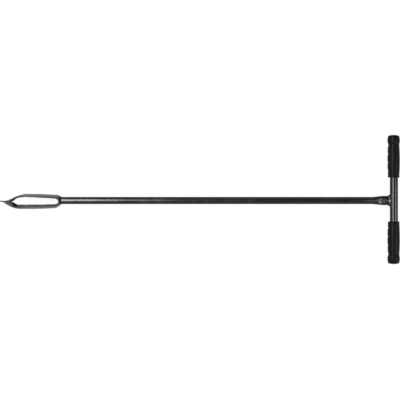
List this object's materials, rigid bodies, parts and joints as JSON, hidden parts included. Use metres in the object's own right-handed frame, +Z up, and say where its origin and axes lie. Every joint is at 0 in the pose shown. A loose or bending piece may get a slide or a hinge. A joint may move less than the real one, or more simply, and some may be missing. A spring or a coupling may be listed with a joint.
{
  "type": "hand earth auger",
  "caption": "Hand earth auger: curved blades meet in a twisted point below a tubular steel shaft, with a welded cross handle and rubber finger grips.",
  "frame": {"origin": "on the ground under the shaft's axis, at half of the tool's length, with the tool lying flat on its grips and blades", "axes": "+X along the shaft from the point to the handle, +Y along the cross handle, +Z up from the ground"},
  "size_m": [1.2, 0.388, 0.0381],
  "materials": {
    "blade_steel": "dark grey forged steel, satin",
    "tube_steel": "blackened steel tube under a thin glossy lacquer",
    "weld_steel": "dark weld metal",
    "grip_rubber": "black moulded rubber, slightly shiny"
  },
  "bodies": {
    "root": {"long_blade": "blade_steel", "short_blade": "blade_steel", "tip_weld": "weld_steel", "seam_welds": "weld_steel", "head_weld": "weld_steel", "shaft_tube": "tube_steel", "handle_weld": "weld_steel", "handle_tube": "tube_steel", "grip_right": "grip_rubber", "grip_left": "grip_rubber"}
  },
  "joints": []
}
